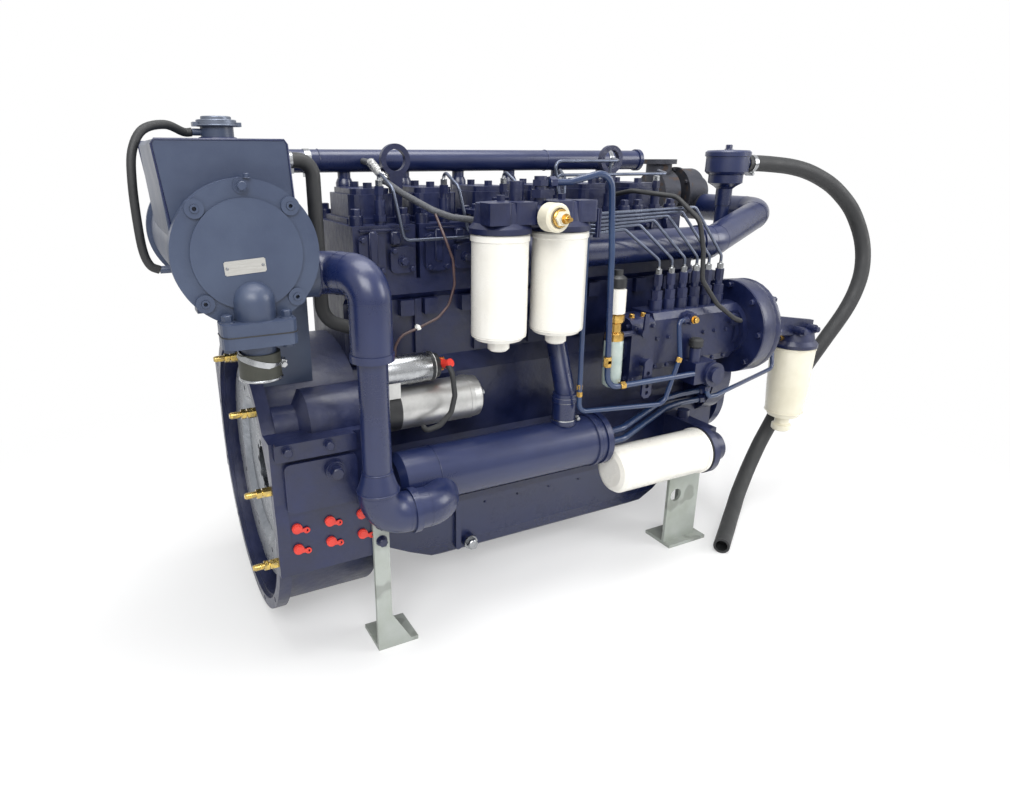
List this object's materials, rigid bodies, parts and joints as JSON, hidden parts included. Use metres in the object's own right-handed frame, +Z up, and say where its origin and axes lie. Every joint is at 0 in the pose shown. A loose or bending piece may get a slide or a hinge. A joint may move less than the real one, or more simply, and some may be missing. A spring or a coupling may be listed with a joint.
{
  "type": "marine diesel engine",
  "caption": "Inline marine diesel engine with heat exchanger over the flywheel housing, side injection pump, spin-on filters, starter, turbocharger and working crank, cam and belt drives.",
  "frame": {"origin": "crankshaft axis at the flywheel housing's face", "axes": "+X from the flywheel housing to the pulley end, +Y away from the fuel pump side, +Z up"},
  "size_m": [1.8039, 0.675, 0.954],
  "materials": {
    "navy_paint": "satin enamel over castings, brushed and sprayed",
    "cast_housing": "bare casting, dulled",
    "steel": "machined steel, oiled",
    "iron": "turned cast iron",
    "alloy": "machined and die cast, satin",
    "black_steel": "black enamel",
    "copper_windings": "varnished copper",
    "black_rubber": "matt, slightly dusty",
    "white_paint": "gloss off-white enamel",
    "cream_paint": "gloss cream enamel",
    "red_plastic": "soft moulded plastic",
    "black_plastic": "moulded",
    "yellow_zinc": "zinc plate, yellow passivated",
    "grey_paint": "light grey enamel"
  },
  "bodies": {
    "engine": {"cylinder_block": "navy_paint", "cylinder_heads": "navy_paint", "rocker_covers": "navy_paint", "oil_pan": "navy_paint", "flywheel_housing": "navy_paint", "housing_plugs": "red_plastic", "flange_studs": "yellow_zinc", "timing_case": "navy_paint", "timing_cover": "navy_paint", "alternator": "alloy", "drive_belt": "black_rubber", "intake_manifold": "navy_paint", "intake_elbow": "navy_paint", "exhaust_manifold": "navy_paint", "turbo_housing": "cast_housing", "heat_exchanger": "navy_paint", "exchanger_cap": "navy_paint", "outlet_flange": "navy_paint", "outlet_hose": "black_rubber", "expansion_tank": "navy_paint", "overflow_hose": "black_rubber", "coolant_rail": "navy_paint", "coolant_pipe": "navy_paint", "oil_cooler": "navy_paint", "cooler_riser": "navy_paint", "oil_filter": "white_paint", "oil_filter_head": "navy_paint", "fuel_filters": "white_paint", "fuel_filter_head": "navy_paint", "fuel_valve": "cream_paint", "injection_pump": "navy_paint", "injection_lines": "steel", "injectors": "steel", "fuel_pipes": "navy_paint", "stop_solenoid": "white_paint", "starter_motor": "alloy", "breather": "navy_paint", "breather_hose": "black_rubber", "prefilter_head": "navy_paint", "prefilter": "cream_paint", "lifting_eyes": "navy_paint", "support_legs": "grey_paint"},
    "crank_train": {"crankshaft": "steel", "flywheel": "iron", "ring_gear": "steel", "crank_pulley": "navy_paint"},
    "camshaft": {"camshaft": "steel"},
    "pump_drive": {"pump_drive": "steel"},
    "coolant_pump_rotor": {"coolant_pulley": "navy_paint"},
    "alternator_rotor": {"alternator_pulley": "black_steel"},
    "pistons_outer": {"pistons_outer": "alloy"},
    "pistons_middle": {"pistons_middle": "alloy"},
    "pistons_centre": {"pistons_centre": "alloy"},
    "turbo_rotor": {"turbo_rotor": "alloy"},
    "starter_armature": {"starter_armature": "copper_windings"},
    "starter_pinion": {"starter_pinion": "steel"},
    "tank_cap": {"tank_cap": "black_steel"},
    "speed_lever": {"speed_lever": "steel"},
    "stop_lever": {"stop_lever": "steel"},
    "primer_plunger": {"primer_plunger": "black_plastic"}
  },
  "joints": [
    {"name": "crank_spin", "type": "hinge", "parent": "engine", "child": "crank_train", "pos_m": [0.207, 0, 0], "axis": [1, 0, 0], "continuous": true},
    {"name": "cam_spin", "type": "hinge", "parent": "engine", "child": "camshaft", "pos_m": [0.6, -0.09546, 0.09546], "axis": [1, 0, 0], "continuous": true},
    {"name": "pump_spin", "type": "hinge", "parent": "engine", "child": "pump_drive", "pos_m": [0.9, -0.2159, 0.22923], "axis": [1, 0, 0], "continuous": true},
    {"name": "coolant_pump_spin", "type": "hinge", "parent": "engine", "child": "coolant_pump_rotor", "pos_m": [1.166, 0.03, 0.25], "axis": [1, 0, 0], "continuous": true},
    {"name": "alternator_spin", "type": "hinge", "parent": "engine", "child": "alternator_rotor", "pos_m": [1.166, 0.232, 0.132], "axis": [1, 0, 0], "continuous": true},
    {"name": "pistons_outer_slide", "type": "slide", "parent": "engine", "child": "pistons_outer", "axis": [0, 0, 1], "range_m": [-0.13, 0]},
    {"name": "pistons_middle_slide", "type": "slide", "parent": "engine", "child": "pistons_middle", "axis": [0, 0, 1], "range_m": [-0.0258, 0.1042]},
    {"name": "pistons_centre_slide", "type": "slide", "parent": "engine", "child": "pistons_centre", "axis": [0, 0, 1], "range_m": [-0.0258, 0.1042]},
    {"name": "turbo_spin", "type": "hinge", "parent": "engine", "child": "turbo_rotor", "pos_m": [1.19, 0.19, 0.505], "axis": [1, 0, 0], "continuous": true},
    {"name": "starter_armature_spin", "type": "hinge", "parent": "engine", "child": "starter_armature", "pos_m": [0.3, -0.19234, 0.15576], "axis": [1, 0, 0], "continuous": true},
    {"name": "starter_pinion_slide", "type": "slide", "parent": "starter_armature", "child": "starter_pinion", "axis": [-1, 0, 0], "range_m": [0, 0.028], "stiffness_N_per_m": 600, "springref_m": -0.01},
    {"name": "tank_cap_turn", "type": "hinge", "parent": "engine", "child": "tank_cap", "pos_m": [-0.01, -0.17, 0.641], "axis": [0, 0, 1], "range_deg": [0, 90]},
    {"name": "speed_lever_swing", "type": "hinge", "parent": "engine", "child": "speed_lever", "pos_m": [0.779, -0.2589, 0.19323], "axis": [0, 1, 0], "range_deg": [-25, 25]},
    {"name": "stop_lever_swing", "type": "hinge", "parent": "engine", "child": "stop_lever", "pos_m": [0.765, -0.2589, 0.25922], "axis": [0, 1, 0], "range_deg": [0, 40], "stiffness_Nm_per_rad": 0.8, "springref_deg": -11.46},
    {"name": "primer_plunger_slide", "type": "slide", "parent": "engine", "child": "primer_plunger", "axis": [0, 0, 1], "range_m": [0, 0.02]}
  ],
  "couplings": [
    {"joint": "cam_spin", "follows": "crank_spin", "ratio": -0.5},
    {"joint": "pump_spin", "follows": "crank_spin", "ratio": 0.5},
    {"joint": "coolant_pump_spin", "follows": "crank_spin", "ratio": 1.6275},
    {"joint": "alternator_spin", "follows": "crank_spin", "ratio": 3.0741}
  ]
}
